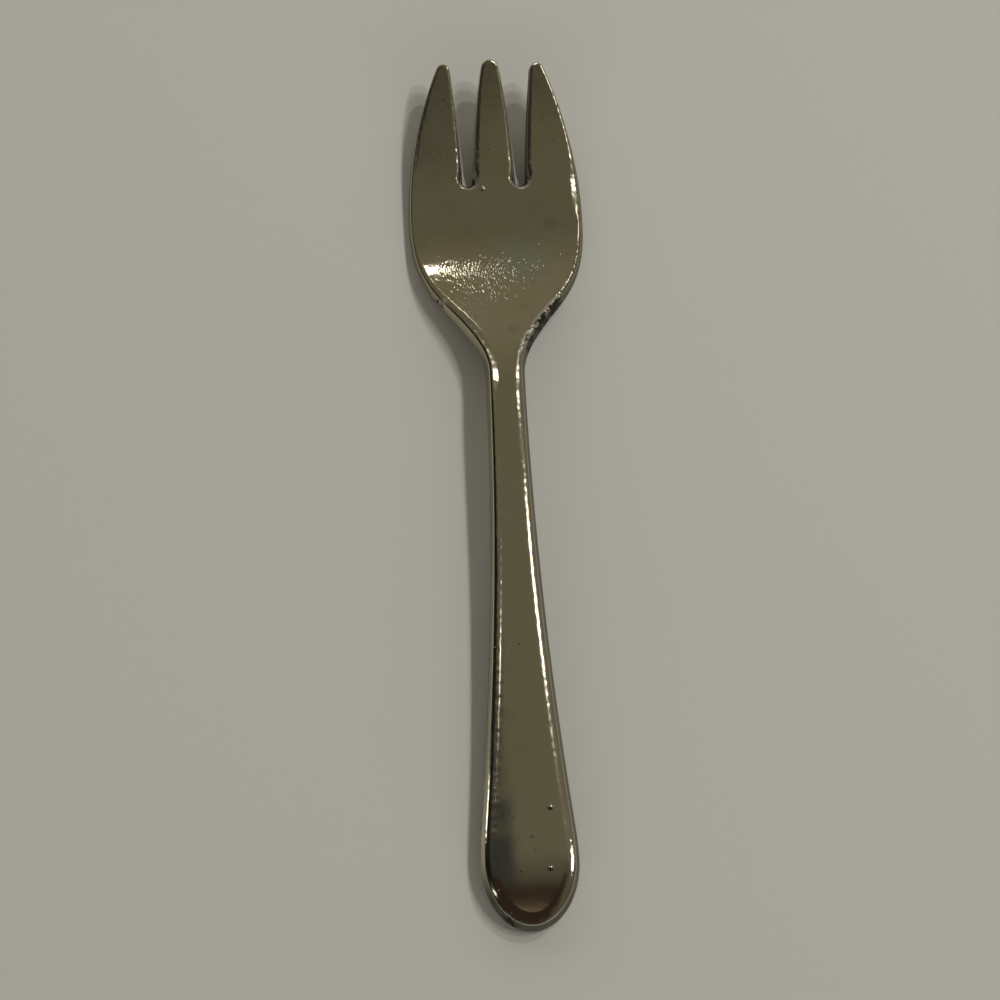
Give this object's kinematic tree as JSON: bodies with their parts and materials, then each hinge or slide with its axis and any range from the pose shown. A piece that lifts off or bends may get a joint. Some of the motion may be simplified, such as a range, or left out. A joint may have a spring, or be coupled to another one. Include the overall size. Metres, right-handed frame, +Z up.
{
  "type": "child fork",
  "caption": "Child's table fork: a flat, flared handle with a rolled edge, a narrow neck, broad shoulders and stout blunt tines, in bright worn plating.",
  "frame": {"origin": "on the table, under the middle of the fork's length and width", "axes": "+Y along the fork towards the tines, +X to the right seen from above with the tines away, +Z up from the table"},
  "size_m": [0.023, 0.115, 0.0053],
  "materials": {
    "plating": "bright nickel-coloured plating, faintly orange-peeled, worn at the edges"
  },
  "bodies": {
    "root": {"handle": "plating", "neck": "plating", "bowl": "plating", "left_tine": "plating", "middle_tine": "plating", "right_tine": "plating"}
  },
  "joints": []
}
